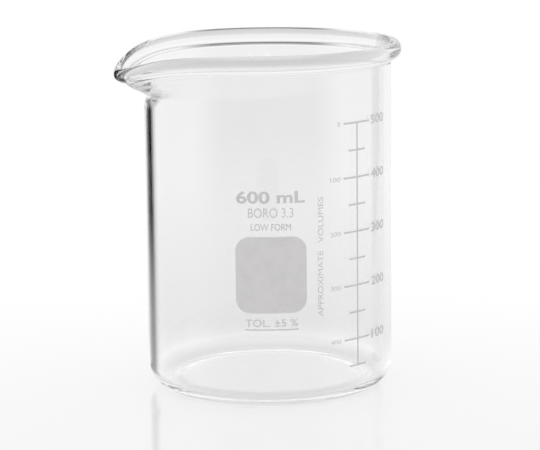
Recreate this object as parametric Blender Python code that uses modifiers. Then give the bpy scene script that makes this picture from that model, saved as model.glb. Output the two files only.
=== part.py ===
"""Low-form beaker, 600 mL: one blown glass vessel with a beaded rim and a pouring spout, and its
printed scale, figures, capacity block, marking spot and captions in fired white enamel.

Metres, +Z up. The origin is the centre of the base's underside. The spout pours towards -X.
"""
import math

import bmesh
import bpy
from mathutils import Vector

MM = 0.001

# ---- glass vessel (mm) ----
HEIGHT = 122.2
WALL_R = 43.5                 # outside radius of the straight wall
WALL_T = 2.3
BASE_T = 3.2
FOOT_CORNER_R = 8.2           # outside corner between base and wall
FLOOR_CORNER_R = 4.4          # inside corner
CREST_R = 45.3                # radius of the rim's highest line
BEAD_OUT = 3.6                # how far the rim's bead stands out of the wall
BEAD_H = 7.6                  # from the crest down to where the bead meets the wall
BEAD_UNDER = 3.6              # from the bead's widest line down to its underside
NOSE_DROP = 2.8               # from the crest down to the bead's widest line
CREST_HALF = 1.0              # half the width of the rounded crest
FUNNEL_H = 7.8                # inside flare, from the crest down to the straight bore
FUNNEL_POWER = 1.35           # how late the flare opens: 1 is a straight cone

# ---- spout ----
SPOUT_OUT = 7.2               # how far the lip is drawn out at the middle of the spout
SPOUT_DIP = 8.1               # how far the lip drops there
SPOUT_OUT_DEG = 49.5          # angular half-widths of the two bumps
SPOUT_DIP_DEG = 31.6
SPOUT_TIP_DEG = 3.0           # rounds the very tip
SPOUT_LIP = 5.7               # the lip keeps its full section down to here
SPOUT_OUT_REACH = 9.9         # how far down the wall each bump fades out
SPOUT_DIP_REACH = 25.3
PINCH = 1.2                   # the wall draws in this much just under the spout
PINCH_DEG = 22.0
PINCH_DEPTH = 17.0

SEGMENTS = 72
SPOUT_CROWDING = 0.5          # how strongly the facets crowd towards the spout

# ---- enamel print (mm) ----
PRINT_GAP = 0.3               # clear of the glass
FILM_T = 0.10                 # film that carries a group of figures or letters
INK_T = 0.20                  # solid enamel
BEND_STEP = 2.4               # widest flat strip before the print is wrapped round the wall

BLOCK_DEG = 261.2             # middle of the capacity block, azimuth from +X
SPINE_DEG = 304.45            # scale's upright line
SCALE_Z0 = 12.93              # height of the 50 mL line
SCALE_STEP = 9.40             # height per 50 mL
SPINE_W = 0.62
TICK_T = 0.60
MAJOR_TICK = (-6.1, 6.4)
MINOR_TICK = (-3.9, 4.0)

SCALE_TOP_ML = 500
TICK_ML = 50


def clear_file():
    for obj in list(bpy.data.objects):
        bpy.data.objects.remove(obj, do_unlink=True)


def make_collection(name):
    coll = bpy.data.collections.new(name)
    bpy.context.scene.collection.children.link(coll)
    return coll


def make_material(name, color, roughness, transmission=0.0, ior=1.5):
    mat = bpy.data.materials.new(name)
    mat.use_nodes = True
    mat.diffuse_color = color
    shader = mat.node_tree.nodes["Principled BSDF"]
    shader.inputs["Base Color"].default_value = color
    shader.inputs["Roughness"].default_value = roughness
    shader.inputs["Transmission Weight"].default_value = transmission
    shader.inputs["IOR"].default_value = ior
    return mat


def arc(cx, cz, rx, rz, a0, a1, count):
    """Points on an elliptical arc in the profile plane, angles in degrees from +X."""
    points = []
    for i in range(count + 1):
        a = math.radians(a0 + (a1 - a0) * i / count)
        points.append((cx + rx * math.cos(a), cz + rz * math.sin(a)))
    return points


def smooth(t):
    t = min(max(t, 0.0), 1.0)
    return t * t * (3.0 - 2.0 * t)


def curve(start, control, end, count):
    """Points of a quadratic curve from start to end, pulled towards a control point."""
    points = []
    for i in range(1, count + 1):
        t = i / count
        points.append(tuple((1 - t) ** 2 * p + 2 * t * (1 - t) * q + t * t * w
                            for p, q, w in zip(start, control, end)))
    return points


def vessel_profile():
    """Section of the wall: floor centre, up the inside, over the rim, down the outside."""
    bore = WALL_R - WALL_T
    points = [(0.0, BASE_T), (bore * 0.45, BASE_T)]
    points += arc(bore - FLOOR_CORNER_R, BASE_T + FLOOR_CORNER_R,
                  FLOOR_CORNER_R, FLOOR_CORNER_R, -90, 0, 7)
    for z in (45.0, 75.0, 95.0, 100.0, 103.0, 105.5, 108.0, HEIGHT - FUNNEL_H - 2.5):
        points.append((bore, z))
    lip = CREST_R - CREST_HALF
    for i in range(9):
        t = (i / 8.0) ** 1.5
        points.append((bore + (lip - bore) * t ** FUNNEL_POWER,
                       HEIGHT - FUNNEL_H + (FUNNEL_H - 0.5) * t))
    points += curve((lip, HEIGHT - 0.5), (lip + 0.2, HEIGHT), (CREST_R, HEIGHT), 3)
    nose = WALL_R + BEAD_OUT
    points += arc(CREST_R, HEIGHT - NOSE_DROP, nose - CREST_R, NOSE_DROP, 90, 0, 5)[1:]
    points += arc(WALL_R, HEIGHT - NOSE_DROP, BEAD_OUT, BEAD_UNDER, 0, -75, 6)[1:]
    low = points[-1]
    points += curve(low, (WALL_R, low[1] - 0.3), (WALL_R, HEIGHT - BEAD_H), 4)
    for z in (HEIGHT - FUNNEL_H - 2.5, 108.0, 105.5, 103.0, 100.0, 95.0, 75.0, 45.0):
        points.append((WALL_R, z))
    points += arc(WALL_R - FOOT_CORNER_R, FOOT_CORNER_R,
                  FOOT_CORNER_R, FOOT_CORNER_R, 0, -90, 7)
    points += [(bore * 0.45, 0.0), (0.0, 0.0)]
    return points


def spout_moved(r, theta, z):
    """Draws the rim outwards and down around -X; fades out down the wall and to both sides."""
    off = math.degrees(math.atan2(math.sin(theta - math.pi), math.cos(theta - math.pi)))
    off = math.hypot(off, SPOUT_TIP_DEG)
    out_side = math.exp(-(off / SPOUT_OUT_DEG) ** 1.32)
    dip_side = math.exp(-(off / SPOUT_DIP_DEG) ** 1.77)
    depth = HEIGHT - z
    out_down = smooth(1.0 - (depth - SPOUT_LIP) / SPOUT_OUT_REACH)
    dip_down = smooth(1.0 - depth / SPOUT_DIP_REACH)
    pinch = PINCH * math.exp(-(off / PINCH_DEG) ** 2 - ((depth - PINCH_DEPTH) / 3.0) ** 2)
    return r + SPOUT_OUT * out_side * out_down - pinch, z - SPOUT_DIP * dip_side * dip_down


def baked(obj, name):
    """A mesh copy of an object with its modifiers applied."""
    graph = bpy.context.evaluated_depsgraph_get()
    return bpy.data.meshes.new_from_object(obj.evaluated_get(graph), depsgraph=graph)


def add_object(name, mesh, material, coll):
    obj = bpy.data.objects.new(name, mesh)
    mesh.name = name
    mesh.materials.clear()
    mesh.materials.append(material)
    coll.objects.link(obj)
    return obj


def build_vessel(coll, shop, material):
    """Turned wall and base, then the spout drawn out of the rim."""
    mesh = bpy.data.meshes.new("vessel_profile")
    points = [Vector((r * MM, 0.0, z * MM)) for r, z in vessel_profile()]
    edges = [(i, i + 1) for i in range(len(points) - 1)]
    mesh.from_pydata(points, edges, [])
    turned = bpy.data.objects.new("vessel_profile", mesh)
    shop.objects.link(turned)
    turned.display_type = "WIRE"
    turned.hide_render = True
    screw = turned.modifiers.new("turn", "SCREW")
    screw.axis = "Z"
    screw.angle = math.tau
    screw.steps = SEGMENTS
    screw.render_steps = SEGMENTS
    screw.use_merge_vertices = True
    screw.merge_threshold = 0.00001
    screw.use_normal_calculate = True
    bpy.context.view_layer.update()
    body = baked(turned, "glass_body")
    for vert in body.vertices:
        r = math.hypot(vert.co.x, vert.co.y) / MM
        if r < 0.001:
            continue
        phi = math.atan2(vert.co.y, vert.co.x) - math.pi
        theta = math.pi + phi - SPOUT_CROWDING * math.sin(phi)
        new_r, new_z = spout_moved(r, theta, vert.co.z / MM)
        vert.co = Vector((new_r * math.cos(theta), new_r * math.sin(theta), new_z)) * MM
    bm = bmesh.new()
    bm.from_mesh(body)
    face_outwards(bm)
    bm.to_mesh(body)
    bm.free()
    obj = add_object("glass_body", body, material, coll)
    body.shade_smooth()
    body.set_sharp_from_angle(angle=math.radians(50))
    return obj


def face_outwards(bm):
    bmesh.ops.recalc_face_normals(bm, faces=bm.faces)
    if bm.calc_volume(signed=True) < 0.0:
        bmesh.ops.reverse_faces(bm, faces=bm.faces)


def wrap(bm, centre_deg):
    """Bends a flat print (x along the wall, y up, z outwards, mm) round the wall, in metres."""
    reach = max(abs(v.co.x) for v in bm.verts)
    count = int(reach / BEND_STEP) + 1
    for i in range(-count, count):
        cut = (i + 0.5) * BEND_STEP
        if abs(cut) > reach - 0.2 or reach < BEND_STEP:
            continue
        geom = list(bm.verts) + list(bm.edges) + list(bm.faces)
        bmesh.ops.bisect_plane(bm, geom=geom, dist=0.0001,
                               plane_co=(cut, 0, 0), plane_no=(1, 0, 0))
    bmesh.ops.triangulate(bm, faces=bm.faces)
    for vert in bm.verts:
        theta = math.radians(centre_deg) + vert.co.x / WALL_R
        r = (WALL_R + PRINT_GAP + vert.co.z) * MM
        vert.co = Vector((r * math.cos(theta), r * math.sin(theta), vert.co.y * MM))
    face_outwards(bm)


def thicken(bm, low, high):
    """Turns a flat sheet of faces into a solid between two heights."""
    for vert in bm.verts:
        vert.co.z = low
    flat = list(bm.faces)
    made = bmesh.ops.extrude_face_region(bm, geom=flat)
    for item in made["geom"]:
        if isinstance(item, bmesh.types.BMVert):
            item.co.z = high


def letters_sheet(text, width, height, resolution):
    """Flat glyphs as a sheet, fitted to a width and height and centred on its own middle."""
    curve = bpy.data.curves.new("letters", "FONT")
    curve.body = text
    curve.size = 1.0
    curve.resolution_u = resolution
    curve.fill_mode = "BOTH"
    obj = bpy.data.objects.new("letters", curve)
    bpy.context.scene.collection.objects.link(obj)
    bpy.context.view_layer.update()
    mesh = baked(obj, "letters")
    bpy.data.objects.remove(obj, do_unlink=True)
    bm = bmesh.new()
    bm.from_mesh(mesh)
    bmesh.ops.remove_doubles(bm, verts=bm.verts, dist=0.0001)
    bmesh.ops.dissolve_limit(bm, angle_limit=0.001, verts=bm.verts, edges=bm.edges)
    bmesh.ops.triangulate(bm, faces=bm.faces)
    xs = [v.co.x for v in bm.verts]
    ys = [v.co.y for v in bm.verts]
    sx = width / (max(xs) - min(xs))
    sy = height / (max(ys) - min(ys))
    mx = (max(xs) + min(xs)) / 2
    my = (max(ys) + min(ys)) / 2
    for vert in bm.verts:
        vert.co = Vector(((vert.co.x - mx) * sx, (vert.co.y - my) * sy, 0.0))
    return bm


def rectangle_cells(x_cuts, y_cuts, inside):
    """Grid of cells between cuts, keeping those the test accepts."""
    bm = bmesh.new()
    verts = {}
    for i, x in enumerate(x_cuts):
        for j, y in enumerate(y_cuts):
            verts[i, j] = bm.verts.new((x, y, 0.0))
    for i in range(len(x_cuts) - 1):
        for j in range(len(y_cuts) - 1):
            x = (x_cuts[i] + x_cuts[i + 1]) / 2
            y = (y_cuts[j] + y_cuts[j + 1]) / 2
            if inside(x, y):
                bm.faces.new((verts[i, j], verts[i + 1, j], verts[i + 1, j + 1], verts[i, j + 1]))
    loose = [v for v in bm.verts if not v.link_faces]
    bmesh.ops.delete(bm, geom=loose, context="VERTS")
    return bm


def finish_print(name, bm, centre_deg, z, material, coll):
    bmesh.ops.translate(bm, verts=bm.verts, vec=(0.0, z, 0.0))
    wrap(bm, centre_deg)
    mesh = bpy.data.meshes.new(name)
    bm.to_mesh(mesh)
    bm.free()
    return add_object(name, mesh, material, coll)


def print_label(name, text, centre_deg, z, width, height, coll, shop, material,
                turned=False, resolution=1):
    """Figures or letters standing on one thin film, so the group is a single piece."""
    bm = letters_sheet(text, width, height, resolution)
    thicken(bm, FILM_T * 0.5, INK_T)
    bmesh.ops.recalc_face_normals(bm, faces=bm.faces)
    ink_mesh = bpy.data.meshes.new(name + "_ink")
    bm.to_mesh(ink_mesh)
    bm.free()
    ink = bpy.data.objects.new(name + "_ink", ink_mesh)
    margin = 0.35
    half_w = width / 2 + margin
    half_h = height / 2 + margin
    bm = rectangle_cells([-half_w, half_w], [-half_h, half_h], lambda x, y: True)
    thicken(bm, 0.0, FILM_T)
    bmesh.ops.recalc_face_normals(bm, faces=bm.faces)
    film_mesh = bpy.data.meshes.new(name + "_film")
    bm.to_mesh(film_mesh)
    bm.free()
    film = bpy.data.objects.new(name + "_film", film_mesh)
    for obj in (ink, film):
        shop.objects.link(obj)
        obj.display_type = "WIRE"
        obj.hide_render = True
    join = film.modifiers.new("join", "BOOLEAN")
    join.operation = "UNION"
    join.solver = "EXACT"
    join.object = ink
    join.use_self = True
    bpy.context.view_layer.update()
    mesh = baked(film, name)
    bm = bmesh.new()
    bm.from_mesh(mesh)
    bmesh.ops.remove_doubles(bm, verts=bm.verts, dist=0.0005)
    if turned:
        for vert in bm.verts:
            vert.co = Vector((-vert.co.y, vert.co.x, vert.co.z))
    return finish_print(name, bm, centre_deg, z, material, coll)


def print_glyph(name, text, centre_deg, z, width, height, coll, material):
    """A single figure of solid enamel."""
    bm = letters_sheet(text, width, height, 3)
    thicken(bm, 0.0, INK_T)
    return finish_print(name, bm, centre_deg, z, material, coll)


def print_scale(coll, material):
    """Upright line with a mark each 50 mL, the longer marks each 100 mL: one printed piece."""
    levels = []
    for ml in range(TICK_ML, SCALE_TOP_ML + 1, TICK_ML):
        z = SCALE_Z0 + SCALE_STEP * (ml - TICK_ML) / TICK_ML
        major = ml % 100 == 0
        levels.append((z, MAJOR_TICK if major else MINOR_TICK))
    half = SPINE_W / 2
    x_cuts = [MAJOR_TICK[0], MINOR_TICK[0], -half, half, MINOR_TICK[1], MAJOR_TICK[1]]
    y_cuts = []
    for z, _ in levels:
        y_cuts += [z - TICK_T / 2, z + TICK_T / 2]

    def inside(x, y):
        if abs(x) < half:
            return True
        for z, span in levels:
            if abs(y - z) < TICK_T / 2 and span[0] < x < span[1]:
                return True
        return False

    bm = rectangle_cells(x_cuts, y_cuts, inside)
    thicken(bm, 0.0, INK_T)
    return finish_print("graduation_scale", bm, SPINE_DEG, 0.0, material, coll)


def print_spot(name, centre_deg, z, width, height, corner, coll, material):
    """Blank marking spot: a rounded rectangle of enamel to write on."""
    outline = []
    spots = ((1, 1, 0), (-1, 1, 90), (-1, -1, 180), (1, -1, 270))
    for sx, sy, a0 in spots:
        outline += arc(sx * (width / 2 - corner), sy * (height / 2 - corner),
                       corner, corner, a0, a0 + 90, 6)
    bm = bmesh.new()
    bm.faces.new([bm.verts.new((x, y, 0.0)) for x, y in outline])
    thicken(bm, 0.0, INK_T)
    return finish_print(name, bm, centre_deg, z, material, coll)


def print_bar(name, centre_deg, z, width, height, coll, material):
    bm = rectangle_cells([-width / 2, width / 2], [-height / 2, height / 2], lambda x, y: True)
    thicken(bm, 0.0, INK_T)
    return finish_print(name, bm, centre_deg, z, material, coll)


def spine_side(arc_mm):
    """Azimuth of a point this far round the wall from the scale's upright line."""
    return SPINE_DEG + math.degrees(arc_mm / WALL_R)


def build():
    clear_file()
    coll = make_collection("beaker")
    shop = make_collection("cutters")
    glass = make_material("borosilicate_glass", (0.93, 0.95, 0.95, 1.0), 0.02, 1.0, 1.473)
    enamel = make_material("fired_enamel", (0.56, 0.56, 0.56, 1.0), 0.55)
    figures = make_material("fired_enamel_figures", (0.52, 0.52, 0.52, 1.0), 0.55)
    captions = make_material("fired_enamel_captions", (0.52, 0.52, 0.52, 1.0), 0.55)
    capacity = make_material("fired_enamel_capacity", (0.50, 0.50, 0.50, 1.0), 0.55)
    spot = make_material("fired_enamel_spot", (0.58, 0.57, 0.575, 1.0), 0.65)

    build_vessel(coll, shop, glass)
    print_scale(coll, enamel)

    # rising figures to the right of the scale: how much is in the beaker
    for ml in range(100, SCALE_TOP_ML + 1, 100):
        z = SCALE_Z0 + SCALE_STEP * (ml - TICK_ML) / TICK_ML + 0.1
        print_label("contents_%d" % ml, str(ml), spine_side(12.1), z, 9.0, 3.2,
                    coll, shop, figures, resolution=2)

    # falling figures to the left: how much has been poured out of a full scale
    for ml in range(0, SCALE_TOP_ML, 100):
        z = SCALE_Z0 + SCALE_STEP * (SCALE_TOP_ML - ml - TICK_ML) / TICK_ML - 0.05
        if ml == 0:
            print_glyph("poured_0", "0", spine_side(-8.1), z, 1.15, 1.5, coll, figures)
            continue
        print_label("poured_%d" % ml, str(ml), spine_side(-9.65), z, 4.2, 1.5,
                    coll, shop, figures)

    print_label("caption_approximate", "APPROXIMATE", spine_side(-15.6), 43.45, 22.7, 2.0,
                coll, shop, captions, turned=True)
    print_label("caption_volumes", "VOLUMES", spine_side(-15.45), 65.55, 15.6, 2.0,
                coll, shop, captions, turned=True, resolution=2)

    print_label("capacity_mark", "600 mL", BLOCK_DEG, 74.05, 23.4, 4.3,
                coll, shop, capacity, resolution=3)
    print_label("glass_type_line", "BORO 3.3", BLOCK_DEG, 68.7, 15.4, 3.3,
                coll, shop, captions)
    print_label("form_line", "LOW FORM", BLOCK_DEG, 63.8, 13.7, 2.4,
                coll, shop, captions)
    print_spot("marking_spot", BLOCK_DEG, 47.3, 24.4, 26.4, 5.0, coll, spot)
    print_label("tolerance_line", "TOL. ±5 %", BLOCK_DEG, 30.7, 18.0, 2.6,
                coll, shop, captions)
    print_bar("tolerance_underline", BLOCK_DEG, 28.35, 18.4, 0.5, coll, captions)


build()
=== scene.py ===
"""Low-form 600 mL beaker: one piece of clear blown glass with a fired enamel print, standing on a
pale light table in a white studio."""

import math

import bmesh
import bpy
import numpy as np
from mathutils import Matrix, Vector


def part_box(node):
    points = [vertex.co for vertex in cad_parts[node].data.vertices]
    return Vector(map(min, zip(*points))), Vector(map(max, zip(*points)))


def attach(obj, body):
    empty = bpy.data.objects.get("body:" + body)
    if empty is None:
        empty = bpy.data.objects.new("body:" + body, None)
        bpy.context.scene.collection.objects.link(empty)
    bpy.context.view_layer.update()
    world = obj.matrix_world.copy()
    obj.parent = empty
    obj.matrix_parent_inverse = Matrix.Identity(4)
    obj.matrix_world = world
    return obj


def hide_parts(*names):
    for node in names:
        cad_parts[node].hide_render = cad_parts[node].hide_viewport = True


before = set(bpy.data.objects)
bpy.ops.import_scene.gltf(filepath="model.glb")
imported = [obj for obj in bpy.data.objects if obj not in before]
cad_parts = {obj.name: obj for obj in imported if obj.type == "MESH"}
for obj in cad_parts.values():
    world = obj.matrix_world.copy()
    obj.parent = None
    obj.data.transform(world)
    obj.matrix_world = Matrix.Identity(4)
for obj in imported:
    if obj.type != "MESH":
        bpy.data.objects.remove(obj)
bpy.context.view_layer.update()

MM = 0.001

# ---- the glass, in millimetres and degrees, as in the CAD model ----
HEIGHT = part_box("glass_body")[1].z / MM
WALL_R = 43.5                 # outside of the straight wall
BORE_R = 41.2
BASE_T = 3.2
FOOT_R = 8.2                  # outer corner under the wall
FLOOR_R = 4.4                 # inner corner of the floor
FLARE_H = 7.8                 # the bore starts to open this far below the rim
FLARE_POWER = 1.35
CREST_R = 45.3                # the rim's highest circle
CREST_HALF = 1.0
CREST_EASE = 0.5
NOSE_DROP = 2.8               # the bead is widest this far below the rim
BEAD_OUT = 3.6
UNDER_K = 3.6
UNDER_DEG = 75.0
FILLET = 0.3
BEAD_H = 7.6
SPOUT_OUT = 7.2               # how far the spout stands out, and how that dies away round the rim
SPOUT_OUT_DEG = 49.5
SPOUT_OUT_POWER = 1.32
SPOUT_OUT_REACH = 9.9
SPOUT_DIP = 8.1               # how far the rim drops at the spout
SPOUT_DIP_DEG = 31.6
SPOUT_DIP_POWER = 1.77
SPOUT_DIP_REACH = 25.3
SPOUT_LIP = 5.7               # the lip keeps its full reach down to here
SPOUT_TIP_DEG = 3.0
PINCH = 1.2                   # a shallow hollow where the tool drew the spout
PINCH_DEG = 22.0
PINCH_DEPTH = 17.0
PINCH_TALL = 3.0
PUNT = 0.5                    # the middle of the base is pushed up by this much
PUNT_RUN = 6.0
SEGMENTS = 320                # columns round the axis
CROWD = 0.5                   # how much closer together they stand at the spout
MIDDLE_R = 0.6                # the poles close a hole of this radius

# ---- the print ----
BLOCK_DEG = 261.2             # middle of the capacity block, round the axis from +X
SPINE_DEG = 304.45            # the upright line of the scale
SCALE_Z0 = 12.93              # the 50 mL mark
SCALE_STEP = 9.40             # 50 mL of height in this bore
INK_GAP = 0.012               # the print stands this far off the glass
INK_T = 0.035
INK_FACET = 1.3               # a print is cut this fine before it is bent round the wall
MERGE = 0.001                 # points of a flat print closer than this are one
LINE_THIN = "#CACACA"         # each ink where it lies thin and where it lies full
LINE_FULL = "#D1D1D1"
WORD_THIN = "#CCCCCC"
WORD_FULL = "#D3D3D3"
HEAVY_THIN = "#CBCBCB"
HEAVY_FULL = "#D2D2D2"
SPOT_THIN = "#D5D3D4"
SPOT_FULL = "#DBD9DA"

# ---- the studio ----
VIEW_DEG = 9.7                # the camera stands this far round from -Y towards -X
TABLE_COLOUR = "#767676"
TABLE_SEEN = 0.61             # the table's glow as the eye sees it
FILL = 1.0                    # light that falls on the print and the table
DRAPE_FULL = -23.0            # the drape's edges, in degrees round from straight back
DRAPE_EDGE = -17.0
DRAPE_END = -45.0
DRAPE_SOFT = 3.0              # its left edge fades over this many degrees
DRAPE_DARK = 0.99             # how much light it takes away
DRAPE_SHADE_LEAN = 0.30              # how far the right edge of the painted drape shade runs to the left as it goes back
DRAPE_SHADE_SPREAD = 1.0             # and its left edge
DRAPE_SHADE_NEAR = 0.5               # how strong the painted drape shade is beside the beaker
DRAPE_SHADE_FAR = 0.95               # and at the back of the table
ROOM_DARK = 0.75              # how much light the near side of the room lacks
OVERHEAD = 0.75               # light from straight above
UNDERFOOT = 0.95              # light from below the horizon
MAX_TURNS = 200               # turns that a path may make inside the glass


def linear(colour):
    """An sRGB hex colour as linear red, green, blue and an alpha of one."""
    shade = np.array([int(colour[i:i + 2], 16) for i in (1, 3, 5)]) / 255.0
    shade = np.where(shade <= 0.04045, shade / 12.92, ((shade + 0.055) / 1.055) ** 2.4)
    return (*shade.tolist(), 1.0)


def node(tree, kind, inputs=None, **settings):
    """Adds one node to a tree, with its settings, and sets or links each input that is given."""
    made = tree.nodes.new(kind)
    for name, value in settings.items():
        setattr(made, name, value)
    for key, value in (inputs or {}).items():
        if isinstance(value, bpy.types.NodeSocket):
            tree.links.new(value, made.inputs[key])
        else:
            made.inputs[key].default_value = value
    return made


def empty_tree(owner):
    """The node tree of a material or world, with nothing in it."""
    owner.use_nodes = True
    owner.node_tree.nodes.clear()
    return owner.node_tree


# ---------------------------------------------------------------- materials

def blown_glass():
    """Borosilicate glass, blown in a mould and fire-polished. The eye gets clean refraction, dark
    and light lines where the wall turns edge on, and the slow waviness of a drawn wall: waves
    about 20 mm across, drawn out up the wall, with slighter ones 60 mm across. Handling leaves
    patches about 10 mm across that are a shade less sharp."""
    material = bpy.data.materials.new("borosilicate_glass_blown")
    tree = empty_tree(material)
    place = node(tree, "ShaderNodeTexCoord").outputs["Object"]
    drawn_out = node(tree, "ShaderNodeMapping", {
        "Vector": place, "Scale": (1.0, 1.0, 0.22)}).outputs["Vector"]
    drawn = node(tree, "ShaderNodeTexNoise", {
        "Vector": drawn_out, "Scale": 46.0, "Detail": 2.0, "Roughness": 0.45}).outputs["Fac"]
    slow = node(tree, "ShaderNodeTexNoise", {
        "Vector": place, "Scale": 17.0, "Detail": 1.0, "Roughness": 0.4}).outputs["Fac"]
    waves = node(tree, "ShaderNodeMath", {0: drawn, 1: 0.35, 2: slow},
                 operation="MULTIPLY_ADD").outputs[0]
    bump = node(tree, "ShaderNodeBump", {"Strength": 0.02, "Distance": 0.0006, "Height": waves})
    wiped = node(tree, "ShaderNodeTexNoise", {
        "Vector": place, "Scale": 90.0, "Detail": 4.0, "Roughness": 0.6}).outputs["Fac"]
    haze = node(tree, "ShaderNodeMapRange", {
        "Value": wiped, "From Min": 0.52, "From Max": 0.80,
        "To Min": 0.0, "To Max": 0.012}, interpolation_type="SMOOTHSTEP").outputs["Result"]
    shader = node(tree, "ShaderNodeBsdfPrincipled", {
        "Base Color": linear("#FBFBFB"), "Transmission Weight": 1.0, "IOR": 1.473,
        "Roughness": haze, "Normal": bump.outputs["Normal"]})
    node(tree, "ShaderNodeOutputMaterial", {"Surface": shader.outputs["BSDF"]})
    return material


def fired_enamel(name, thin, full, wear):
    """White enamel, screen printed and fired on: an opaque satin skin. The eye gets clouds about
    4 mm across where the ink lies thin or full, a grain of half a millimetre, and the pimples of
    the screen's mesh, 0.2 mm apart, which is coarser than a real screen so that it shows."""
    material = bpy.data.materials.new(name)
    tree = empty_tree(material)
    place = node(tree, "ShaderNodeTexCoord").outputs["Object"]
    cloud = node(tree, "ShaderNodeTexNoise", {
        "Vector": place, "Scale": 240.0, "Detail": 4.0, "Roughness": 0.55}).outputs["Fac"]
    grain = node(tree, "ShaderNodeTexNoise", {
        "Vector": place, "Scale": 2000.0, "Detail": 2.0, "Roughness": 0.6}).outputs["Fac"]
    screen = node(tree, "ShaderNodeTexVoronoi", {
        "Vector": place, "Scale": 5000.0}, feature="F1").outputs["Distance"]
    cover = node(tree, "ShaderNodeMix", {"Factor": 0.3, "A": cloud, "B": grain}).outputs["Result"]
    cover = node(tree, "ShaderNodeMapRange", {
        "Value": cover, "From Min": 0.32, "From Max": 0.62},
        interpolation_type="SMOOTHSTEP").outputs["Result"]
    shade = node(tree, "ShaderNodeValToRGB", {"Fac": cover})
    shade.color_ramp.elements[0].color = linear(thin)
    shade.color_ramp.elements[1].color = linear(full)
    satin = node(tree, "ShaderNodeMapRange", {
        "Value": cloud, "From Min": 0.3, "From Max": 0.7, "To Min": 0.42, "To Max": 0.62})
    rise = node(tree, "ShaderNodeMath", {0: screen, 1: 0.6, 2: grain},
                operation="MULTIPLY_ADD").outputs[0]
    bump = node(tree, "ShaderNodeBump", {"Strength": wear, "Distance": 0.00002, "Height": rise})
    shader = node(tree, "ShaderNodeBsdfPrincipled", {
        "Base Color": shade.outputs["Color"], "Roughness": satin.outputs["Result"],
        "Normal": bump.outputs["Normal"]})
    node(tree, "ShaderNodeOutputMaterial", {"Surface": shader.outputs["BSDF"]})
    return material


# ---------------------------------------------------------------- the glass

def arc(middle, radii, start, end, count):
    """Points on an ellipse, between two angles in degrees."""
    a = np.radians(np.linspace(start, end, count))
    return np.stack([middle[0] + radii[0] * np.cos(a), middle[1] + radii[1] * np.sin(a)], axis=1)


def line(start, end, count):
    """Evenly spaced points from start to end."""
    return np.linspace(start, end, count)


def bend(start, corner, end, count):
    """Quadratic curve: it leaves start towards the corner and comes to end from the corner."""
    t = np.linspace(0.0, 1.0, count)[:, None]
    return ((1 - t) ** 2 * np.array(start) + 2 * t * (1 - t) * np.array(corner)
            + t ** 2 * np.array(end))


def ease(t):
    """Cubic step: nought up to nought, one from one on, and 3t^2 - 2t^3 between."""
    t = np.clip(t, 0.0, 1.0)
    return t * t * (3.0 - 2.0 * t)


def glass_profile():
    """Section as radius and height, from the middle of the floor to the middle of the underside:
    flat floor, quarter-round corner, straight bore, a flare that widens as a power of the height,
    the crest's short curve, the bead's upper quarter ellipse and 75 degrees of its lower one, a
    fillet into the wall, straight wall, the foot's quarter-round, and a punt that is a cubic
    step of the distance inwards."""
    lip = CREST_R - CREST_HALF
    nose = WALL_R + BEAD_OUT
    foot_in = WALL_R - FOOT_R
    t = np.linspace(0.0, 1.0, 26) ** 1.5
    flare = np.stack([BORE_R + (lip - BORE_R) * t ** FLARE_POWER,
                      HEIGHT - FLARE_H + (FLARE_H - CREST_EASE) * t], axis=1)
    under = arc((WALL_R, HEIGHT - NOSE_DROP), (BEAD_OUT, UNDER_K), 0, -UNDER_DEG, 20)
    underside = line((foot_in, 0.0), (MIDDLE_R, 0.0), 60)
    underside[:, 1] = PUNT * ease((foot_in - underside[:, 0]) / PUNT_RUN)
    parts = [
        line((MIDDLE_R, BASE_T), (BORE_R - FLOOR_R, BASE_T), 24),
        arc((BORE_R - FLOOR_R, BASE_T + FLOOR_R), (FLOOR_R, FLOOR_R), -90, 0, 22),
        line((BORE_R, BASE_T + FLOOR_R), (BORE_R, HEIGHT - 30), 26),
        line((BORE_R, HEIGHT - 30), (BORE_R, HEIGHT - FLARE_H), 22),
        flare,
        bend((lip, HEIGHT - CREST_EASE), (lip + 0.2, HEIGHT), (CREST_R, HEIGHT), 8),
        arc((CREST_R, HEIGHT - NOSE_DROP), (nose - CREST_R, NOSE_DROP), 90, 0, 16),
        under,
        bend(under[-1], (WALL_R, under[-1, 1] - FILLET), (WALL_R, HEIGHT - BEAD_H), 12),
        line((WALL_R, HEIGHT - BEAD_H), (WALL_R, HEIGHT - 30), 22),
        line((WALL_R, HEIGHT - 30), (WALL_R, FOOT_R), 26),
        arc((foot_in, FOOT_R), (FOOT_R, FOOT_R), 0, -90, 24),
        underside,
    ]
    return np.concatenate([part[:-1] for part in parts[:-1]] + parts[-1:])


def drawn_spout(r, turn, z):
    """The rim drawn outwards and down round -X. Each shift is a bell curve of the angle from the
    spout, exp(-(angle / width)^power), times a cubic step of the depth below the rim. Under it
    the wall is pinched in by a bell curve of the angle times one of the depth."""
    off = np.degrees(np.arctan2(np.sin(turn - np.pi), np.cos(turn - np.pi)))
    off = np.hypot(off, SPOUT_TIP_DEG)
    depth = HEIGHT - z
    out = (SPOUT_OUT * np.exp(-(off / SPOUT_OUT_DEG) ** SPOUT_OUT_POWER)
           * ease(1.0 - (depth - SPOUT_LIP) / SPOUT_OUT_REACH))
    dip = (SPOUT_DIP * np.exp(-(off / SPOUT_DIP_DEG) ** SPOUT_DIP_POWER)
           * ease(1.0 - depth / SPOUT_DIP_REACH))
    pinch = (PINCH * np.exp(-(off / PINCH_DEG) ** 2)
             * np.exp(-((depth - PINCH_DEPTH) / PINCH_TALL) ** 2))
    return r + out - pinch, z - dip


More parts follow.
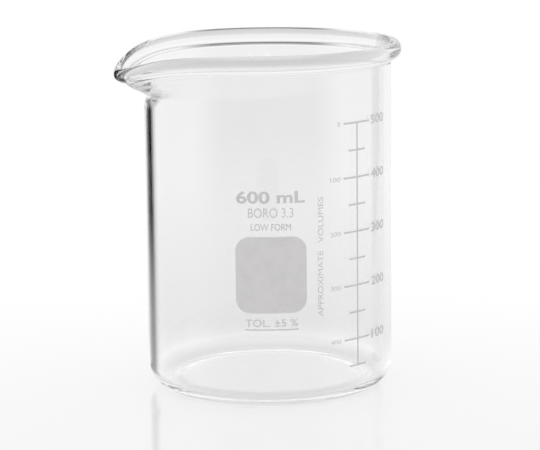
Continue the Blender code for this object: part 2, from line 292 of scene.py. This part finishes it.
def glass_mesh():
    """The section carried round the axis on a grid: rows are its points, columns are angles from
    the spout, crowded there by taking a sine from each. A fan closes each end at the axis."""
    profile = glass_profile()
    around = np.linspace(-np.pi, np.pi, SEGMENTS, endpoint=False)
    r, turn = np.meshgrid(profile[:, 0], np.pi + around - CROWD * np.sin(around), indexing="ij")
    z = np.broadcast_to(profile[:, 1][:, None], r.shape)
    r, z = drawn_spout(r, turn, z)
    grid = np.stack([r * np.cos(turn), r * np.sin(turn), z], axis=-1) * MM
    rows, columns = r.shape
    poles = np.array([(0.0, 0.0, profile[0, 1]), (0.0, 0.0, profile[-1, 1])]) * MM
    points = np.concatenate([grid.reshape(-1, 3), poles])
    index = np.arange(rows * columns).reshape(rows, columns)
    beside = np.roll(index, -1, axis=1)
    quads = np.stack([index[:-1], beside[:-1], beside[1:], index[1:]], axis=-1).reshape(-1, 4)
    pole = np.full(columns, rows * columns)
    floor_fan = np.stack([pole, beside[0], index[0]], axis=-1)
    base_fan = np.stack([pole + 1, index[-1], beside[-1]], axis=-1)
    mesh = bpy.data.meshes.new("vessel_glass")
    mesh.from_pydata(points.tolist(), [], quads.tolist() + floor_fan.tolist() + base_fan.tolist())
    return mesh


def turn_outwards(mesh):
    """Points every face of a closed mesh outwards."""
    bm = bmesh.new()
    bm.from_mesh(mesh)
    bmesh.ops.recalc_face_normals(bm, faces=bm.faces)
    if bm.calc_volume(signed=True) < 0.0:
        bmesh.ops.reverse_faces(bm, faces=bm.faces)
    bm.to_mesh(mesh)
    bm.free()


def add_piece(mesh, material, stands_for):
    """Puts a finished mesh in the scene at the origin, in place of one CAD node."""
    mesh.materials.append(material)
    piece = bpy.data.objects.new(mesh.name, mesh)
    bpy.context.scene.collection.objects.link(piece)
    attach(piece, "root")
    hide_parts(stands_for)


def build_glass():
    """The one piece of glass, in place of its CAD node."""
    mesh = glass_mesh()
    turn_outwards(mesh)
    mesh.shade_smooth()
    add_piece(mesh, blown_glass(), "glass_body")


# ---------------------------------------------------------------- the print

def points_of(mesh):
    """A mesh's points as an array of one row each."""
    flat = np.empty(len(mesh.vertices) * 3)
    mesh.vertices.foreach_get("co", flat)
    return flat.reshape(-1, 3)


def embolden(mesh, weight):
    """Thickens flat glyphs: each point of an outline moves out by the sum S of its two edges'
    outward normals times 2 weight / |S|^2, which moves both edges out by weight."""
    count = len(mesh.loops)
    corner = np.empty(count, dtype=np.int64)
    edge = np.empty(count, dtype=np.int64)
    start = np.empty(len(mesh.polygons), dtype=np.int64)
    length = np.empty(len(mesh.polygons), dtype=np.int64)
    facing = np.empty(len(mesh.polygons) * 3)
    mesh.loops.foreach_get("vertex_index", corner)
    mesh.loops.foreach_get("edge_index", edge)
    mesh.polygons.foreach_get("loop_start", start)
    mesh.polygons.foreach_get("loop_total", length)
    mesh.polygons.foreach_get("normal", facing)
    following = np.arange(1, count + 1)
    following[start + length - 1] = start
    side = np.repeat(np.sign(facing.reshape(-1, 3)[:, 2]), length)
    outline = np.bincount(edge, minlength=len(mesh.edges))[edge] == 1
    points = points_of(mesh)
    first, second = corner[outline], corner[following[outline]]
    along = points[second] - points[first]
    along /= np.maximum(np.linalg.norm(along, axis=1, keepdims=True), 1e-9)
    outward = np.stack([along[:, 1], -along[:, 0]], axis=1) * side[outline, None]
    total = np.zeros((len(points), 2))
    np.add.at(total, first, outward)
    np.add.at(total, second, outward)
    span = np.maximum((total ** 2).sum(axis=1, keepdims=True), 1.0)
    points[:, :2] += total * 2.0 * weight / span
    mesh.vertices.foreach_set("co", points.ravel())


def flat_letters(text, size, weight):
    """Glyphs as a flat mesh, scaled to a width and height in mm about their own middle; weight
    thickens their strokes, as a part of the letter size."""
    curve = bpy.data.curves.new("letters", "FONT")
    curve.body = text
    curve.size = 1.0
    curve.resolution_u = 6
    holder = bpy.data.objects.new("letters", curve)
    bpy.context.scene.collection.objects.link(holder)
    graph = bpy.context.evaluated_depsgraph_get()
    mesh = bpy.data.meshes.new_from_object(holder.evaluated_get(graph), depsgraph=graph)
    bpy.data.objects.remove(holder, do_unlink=True)
    bm = bmesh.new()
    bm.from_mesh(mesh)
    bmesh.ops.remove_doubles(bm, verts=bm.verts, dist=0.00005)
    bm.to_mesh(mesh)
    bm.free()
    embolden(mesh, weight)
    points = points_of(mesh)
    low, high = points.min(axis=0), points.max(axis=0)
    points[:, 0] = (points[:, 0] - (low[0] + high[0]) / 2) * size[0] / (high[0] - low[0])
    points[:, 1] = (points[:, 1] - (low[1] + high[1]) / 2) * size[1] / (high[1] - low[1])
    mesh.vertices.foreach_set("co", points.ravel())
    return mesh


def flat_outline(outline):
    """One flat face from its corner points, in mm."""
    mesh = bpy.data.meshes.new("outline")
    points = np.column_stack([outline, np.zeros(len(outline))])
    mesh.from_pydata(points.tolist(), [], [list(range(len(outline)))])
    return mesh


def flat_scale():
    """The upright line and its ten marks, every second one long, as the inked cells of a grid
    whose lines are the print's own edges."""
    across = np.array([-6.1, -3.9, -0.31, 0.31, 4.0, 6.4])
    marks = SCALE_Z0 + SCALE_STEP * np.arange(10)
    up = np.stack([marks - 0.30, marks + 0.30], axis=1).ravel()
    x, y = np.meshgrid(across, up, indexing="ij")
    column, row = np.meshgrid(np.arange(len(across) - 1), np.arange(len(up) - 1), indexing="ij")
    on_mark = row % 2 == 0
    long_mark = row // 2 % 2 == 1
    inked = (column == 2) | (on_mark & (long_mark | (column % 2 == 1)))
    index = np.arange(x.size).reshape(x.shape)
    cells = np.stack([index[:-1, :-1], index[1:, :-1], index[1:, 1:], index[:-1, 1:]], axis=-1)
    used, faces = np.unique(cells[inked], return_inverse=True)
    points = np.stack([x, y, np.zeros_like(x)], axis=-1).reshape(-1, 3)[used]
    mesh = bpy.data.meshes.new("scale")
    mesh.from_pydata(points.tolist(), [], faces.reshape(-1, 4).tolist())
    return mesh


def stood_up(mesh):
    """Turns a flat mesh a quarter turn, so that its words read upwards."""
    x, y, z = points_of(mesh).T
    mesh.vertices.foreach_set("co", np.stack([-y, x, z], axis=1).ravel())
    return mesh


def add_print(flat, name, centre_deg, z, material, stands_for):
    """A flat mesh (x along the wall, y up it, in mm) becomes a closed skin of enamel and is bent
    round the wall: x over the wall's radius is the angle from the print's middle."""
    reach = np.abs(points_of(flat)[:, 0]).max()
    bm = bmesh.new()
    bm.from_mesh(flat)
    bmesh.ops.remove_doubles(bm, verts=bm.verts, dist=MERGE)
    for cut in np.arange(INK_FACET / 2, reach, INK_FACET):
        for side in (-1, 1):
            bmesh.ops.bisect_plane(bm, geom=bm.verts[:] + bm.edges[:] + bm.faces[:], dist=0.0001,
                                   plane_co=(side * cut, 0, 0), plane_no=(1, 0, 0))
    bmesh.ops.triangulate(bm, faces=bm.faces)
    skin = bmesh.ops.extrude_face_region(bm, geom=bm.faces[:])["geom"]
    raised = [item for item in skin if isinstance(item, bmesh.types.BMVert)]
    bmesh.ops.translate(bm, verts=raised, vec=(0.0, 0.0, INK_T))
    mesh = bpy.data.meshes.new(name)
    bm.to_mesh(mesh)
    bm.free()
    x, y, out = points_of(mesh).T
    turn = math.radians(centre_deg) + x / WALL_R
    r = WALL_R + INK_GAP + out
    points = np.stack([r * np.cos(turn), r * np.sin(turn), y + z], axis=1) * MM
    mesh.vertices.foreach_set("co", points.ravel())
    turn_outwards(mesh)
    add_piece(mesh, material, stands_for)


def beside_spine(along):
    """Degrees round the axis of a place so many mm to the right of the scale's upright line."""
    return SPINE_DEG + math.degrees(along / WALL_R)


def build_scale():
    """The scale's line and marks, the rising figures to its right, which give the volume in the
    beaker, and the small falling figures to its left, which give the volume poured out."""
    lines = fired_enamel("enamel_lines_screen_printed", LINE_THIN, LINE_FULL, 0.25)
    figures = fired_enamel("enamel_figures_screen_printed", WORD_THIN, WORD_FULL, 0.25)
    add_print(flat_scale(), "enamel_scale", SPINE_DEG, 0.0, lines, "graduation_scale")
    for ml in range(100, 501, 100):
        part = "contents_%d" % ml
        z = SCALE_Z0 + SCALE_STEP * (ml - 50) / 50 + 0.1
        add_print(flat_letters(str(ml), (9.0, 3.2), 0.020), "enamel_" + part,
                  beside_spine(12.1), z, figures, part)
    for ml in range(0, 401, 100):
        part = "poured_%d" % ml
        z = SCALE_Z0 + SCALE_STEP * (450 - ml) / 50 - 0.05
        size, along = ((4.2, 1.5), -9.65) if ml else ((1.15, 1.5), -8.1)
        add_print(flat_letters(str(ml), size, 0.0), "enamel_" + part,
                  beside_spine(along), z, figures, part)


def build_words():
    """The two words beside the scale, then the capacity block from the top down: capacity, glass
    type, form, tolerance and its rule, and a blank spot to write on."""
    words = fired_enamel("enamel_words_screen_printed", WORD_THIN, WORD_FULL, 0.25)
    heavy = fired_enamel("enamel_capacity_screen_printed", HEAVY_THIN, HEAVY_FULL, 0.25)
    spot = fired_enamel("enamel_writing_spot", SPOT_THIN, SPOT_FULL, 0.35)
    table = (
        ("caption_approximate", "APPROXIMATE", beside_spine(-15.6), 43.45, (22.7, 2.0), 0.0, words),
        ("caption_volumes", "VOLUMES", beside_spine(-15.45), 65.55, (15.6, 2.0), 0.0, words),
        ("capacity_mark", "600 mL", BLOCK_DEG, 74.05, (23.4, 4.3), 0.026, heavy),
        ("glass_type_line", "BORO 3.3", BLOCK_DEG, 68.7, (15.4, 3.3), 0.0, words),
        ("form_line", "LOW FORM", BLOCK_DEG, 63.8, (13.7, 2.4), 0.018, words),
        ("tolerance_line", "TOL. ±5 %", BLOCK_DEG, 30.7, (18.0, 2.6), 0.01, words),
    )
    for part, text, centre_deg, z, size, weight, material in table:
        flat = flat_letters(text, size, weight)
        if part.startswith("caption"):
            flat = stood_up(flat)
        add_print(flat, "enamel_" + part, centre_deg, z, material, part)
    half_w, half_h = 9.2, 0.21
    bar = [(-half_w, -half_h), (half_w, -half_h), (half_w, half_h), (-half_w, half_h)]
    add_print(flat_outline(bar), "enamel_tolerance_underline", BLOCK_DEG, 28.35, words,
              "tolerance_underline")
    corner, half_w, half_h = 5.0, 12.2, 13.2
    quarters = [arc((side * (half_w - corner), up * (half_h - corner)), (corner, corner),
                    start, start + 90, 12)
                for side, up, start in ((1, 1, 0), (-1, 1, 90), (-1, -1, 180), (1, -1, 270))]
    add_print(flat_outline(np.concatenate(quarters)), "enamel_marking_spot", BLOCK_DEG, 47.3,
              spot, "marking_spot")


# --------------------------------------------------------------- the studio

def table_top():
    """Pale acrylic light table, 0.05 mm under the beaker. It glows, so the beaker stands on white.
    By way of the glass its glow is another, with painted light under and beside the beaker, and
    behind the beaker on the left the table turns clear onto the dark drape, a painted shade and
    painted reflection of the drape.
    It fades out into the white beyond, between 360 and 550 mm from the beaker."""
    half = 1.2
    top = -0.05 * MM
    mesh = bpy.data.meshes.new("table_top")
    corners = [(-half, -half, top), (half, -half, top), (half, half, top), (-half, half, top)]
    mesh.from_pydata(corners, [], [(0, 1, 2, 3)])
    material = bpy.data.materials.new("acrylic_table_polished")
    tree = empty_tree(material)
    place = node(tree, "ShaderNodeTexCoord").outputs["Object"]
    far = node(tree, "ShaderNodeVectorMath", {0: place}, operation="LENGTH").outputs["Value"]
    turned = node(tree, "ShaderNodeVectorRotate", {
        "Vector": place, "Angle": math.radians(VIEW_DEG)}, rotation_type="Z_AXIS").outputs[0]
    across, back = node(tree, "ShaderNodeSeparateXYZ", {0: turned}).outputs[:2]
    near_edge = node(tree, "ShaderNodeMath", {0: back, 1: DRAPE_SHADE_LEAN, 2: across},
                     operation="MULTIPLY_ADD").outputs[0]
    far_edge = node(tree, "ShaderNodeMath", {0: back, 1: DRAPE_SHADE_SPREAD, 2: across},
                    operation="MULTIPLY_ADD").outputs[0]
    soft = {}
    for name, value, start, end, first, last in (
            # painted light: under and beside the beaker the table glows brighter, filling in the
            # beaker's shade on it
            ("glow_and_painted_light", far, 0.045, 0.10, 0.65, 0.49),
            ("edge_of_table", far, 0.36, 0.55, 0.0, 1.0),
            # painted shade and painted reflection of the drape: these four ramps mark its patch
            # behind the beaker on the left
            ("painted_drape_shade_right", near_edge, -0.050, -0.036, 1.0, 0.0),
            ("painted_drape_shade_left", far_edge, -0.14, -0.06, 0.0, 1.0),
            ("painted_drape_shade_front", back, -0.012, 0.012, 0.0, 1.0),
            ("painted_drape_shade_depth", far, 0.08, 0.40, DRAPE_SHADE_NEAR, DRAPE_SHADE_FAR)):
        soft[name] = node(tree, "ShaderNodeMapRange", {
            "Value": value, "From Min": start, "From Max": end, "To Min": first, "To Max": last},
            interpolation_type="SMOOTHSTEP").outputs["Result"]
    # painted shade and painted reflection of the drape: only for rays by way of the glass, the
    # table behind the beaker on the left turns clear, so the dark drape of the world shows there
    direct = node(tree, "ShaderNodeLightPath").outputs["Is Camera Ray"]
    painted_drape_shade = node(tree, "ShaderNodeMath", {0: 1.0, 1: direct}, operation="SUBTRACT").outputs[0]
    for name in ("painted_drape_shade_right", "painted_drape_shade_left", "painted_drape_shade_front", "painted_drape_shade_depth"):
        painted_drape_shade = node(tree, "ShaderNodeMath", {0: painted_drape_shade, 1: soft[name]},
                    operation="MULTIPLY").outputs[0]
    # the eye sees the table evenly bright; by way of the glass it carries the painted light under
    # the beaker
    glow_and_painted_light = node(tree, "ShaderNodeMix", {
        "Factor": direct, "A": soft["glow_and_painted_light"], "B": TABLE_SEEN}).outputs["Result"]
    shader = node(tree, "ShaderNodeBsdfPrincipled", {
        "Base Color": linear(TABLE_COLOUR), "Roughness": 0.10, "IOR": 1.3,
        "Emission Color": linear("#FFFFFF"), "Emission Strength": glow_and_painted_light})
    clear = node(tree, "ShaderNodeBsdfTransparent")
    # the table turns clear where it fades out and where the painted drape shade lies
    gone = node(tree, "ShaderNodeMath", {0: soft["edge_of_table"], 1: painted_drape_shade},
                operation="MAXIMUM").outputs[0]
    mix = node(tree, "ShaderNodeMixShader", {
        0: gone, 1: shader.outputs["BSDF"], 2: clear.outputs["BSDF"]})
    node(tree, "ShaderNodeOutputMaterial", {"Surface": mix.outputs["Shader"]})
    mesh.materials.append(material)
    table = bpy.data.objects.new("table_top", mesh)
    bpy.context.scene.collection.objects.link(table)


def studio():
    """Soft light from all round and a white backdrop. What shows by way of the glass is darker
    than the backdrop: a black drape at the back on the left, a dim room on the near side, and
    less light from overhead, which together draw the beaker's edges."""
    world = bpy.data.worlds.new("studio")
    bpy.context.scene.world = world
    tree = empty_tree(world)
    way = node(tree, "ShaderNodeTexCoord").outputs["Generated"]
    turned = node(tree, "ShaderNodeVectorRotate", {
        "Vector": way, "Angle": math.radians(VIEW_DEG)}, rotation_type="Z_AXIS").outputs[0]
    across, back, up = node(tree, "ShaderNodeSeparateXYZ", {0: turned}).outputs
    side = node(tree, "ShaderNodeMath", {0: across, 1: back}, operation="ARCTAN2").outputs[0]
    side = node(tree, "ShaderNodeMath", {0: side}, operation="DEGREES").outputs[0]
    off = node(tree, "ShaderNodeMath", {0: side}, operation="ABSOLUTE").outputs[0]
    rise = node(tree, "ShaderNodeMath", {0: up}, operation="ARCSINE").outputs[0]
    rise = node(tree, "ShaderNodeMath", {0: rise}, operation="DEGREES").outputs[0]
    soft = {}
    for name, value, start, end, first, last in (
            ("drape_right", side, DRAPE_FULL, DRAPE_EDGE, 1.0, 0.0),
            ("drape_left", side, DRAPE_END - DRAPE_SOFT, DRAPE_END, 0.0, 1.0),
            ("drape_top", rise, 20.0, 28.0, DRAPE_DARK, 0.0),
            ("room_side", off, 100.0, 140.0, 0.0, ROOM_DARK),
            ("room_top", rise, 30.0, 55.0, 1.0, 0.0),
            ("overhead", rise, 12.0, 45.0, 1.0, OVERHEAD),
            ("underfoot", rise, -3.0, 0.0, UNDERFOOT, 1.0)):
        soft[name] = node(tree, "ShaderNodeMapRange", {
            "Value": value, "From Min": start, "From Max": end, "To Min": first, "To Max": last},
            interpolation_type="SMOOTHSTEP").outputs["Result"]
    level = node(tree, "ShaderNodeMath", {0: soft["overhead"], 1: soft["underfoot"]},
                 operation="MULTIPLY").outputs[0]
    for names in (("drape_right", "drape_left", "drape_top"), ("room_side", "room_top")):
        dark = soft[names[0]]
        for name in names[1:]:
            dark = node(tree, "ShaderNodeMath", {0: dark, 1: soft[name]},
                        operation="MULTIPLY").outputs[0]
        left = node(tree, "ShaderNodeMath", {0: 1.0, 1: dark}, operation="SUBTRACT").outputs[0]
        level = node(tree, "ShaderNodeMath", {0: level, 1: left}, operation="MULTIPLY").outputs[0]
    path = node(tree, "ShaderNodeLightPath").outputs
    by_glass = node(tree, "ShaderNodeMath", {
        0: path["Is Glossy Ray"], 1: path["Is Transmission Ray"]}, operation="MAXIMUM").outputs[0]
    by_light = node(tree, "ShaderNodeMix", {
        "Factor": by_glass, "A": FILL, "B": level}).outputs["Result"]
    shown = node(tree, "ShaderNodeMix", {
        "Factor": path["Is Camera Ray"], "A": by_light, "B": 1.0}).outputs["Result"]
    sky = node(tree, "ShaderNodeBackground", {"Color": linear("#FFFFFF"), "Strength": shown})
    node(tree, "ShaderNodeOutputWorld", {"Surface": sky.outputs["Background"]})


def camera():
    """Stands 827 mm from the beaker's axis and 214 mm above the table, tilted a little down."""
    data = bpy.data.cameras.new("camera")
    data.sensor_width = 36.0
    data.lens = 157.7
    data.shift_x = 0.0032
    data.shift_y = -0.0833
    data.clip_start = 0.05
    data.clip_end = 20.0
    stand = bpy.data.objects.new("camera", data)
    bpy.context.scene.collection.objects.link(stand)
    round_axis = Matrix.Rotation(math.radians(-VIEW_DEG), 4, "Z")
    place = Matrix.Translation((0.0, -0.8265, 0.2138))
    tilt = Matrix.Rotation(math.pi / 2 - 0.1692, 4, "X")
    roll = Matrix.Rotation(-0.0107, 4, "Z")
    stand.matrix_world = round_axis @ place @ tilt @ roll
    bpy.context.scene.camera = stand


def light_paths():
    """Light is led round inside the rim and the base, turning back many times before it leaves,
    so a path through the glass is allowed all the turns it needs."""
    scene = bpy.context.scene
    scene.view_settings.view_transform = "Standard"
    scene.cycles.max_bounces = MAX_TURNS
    scene.cycles.transmission_bounces = MAX_TURNS
    scene.cycles.glossy_bounces = MAX_TURNS
    scene.cycles.transparent_max_bounces = 24


camera()
build_glass()
build_scale()
build_words()
table_top()
studio()
light_paths()
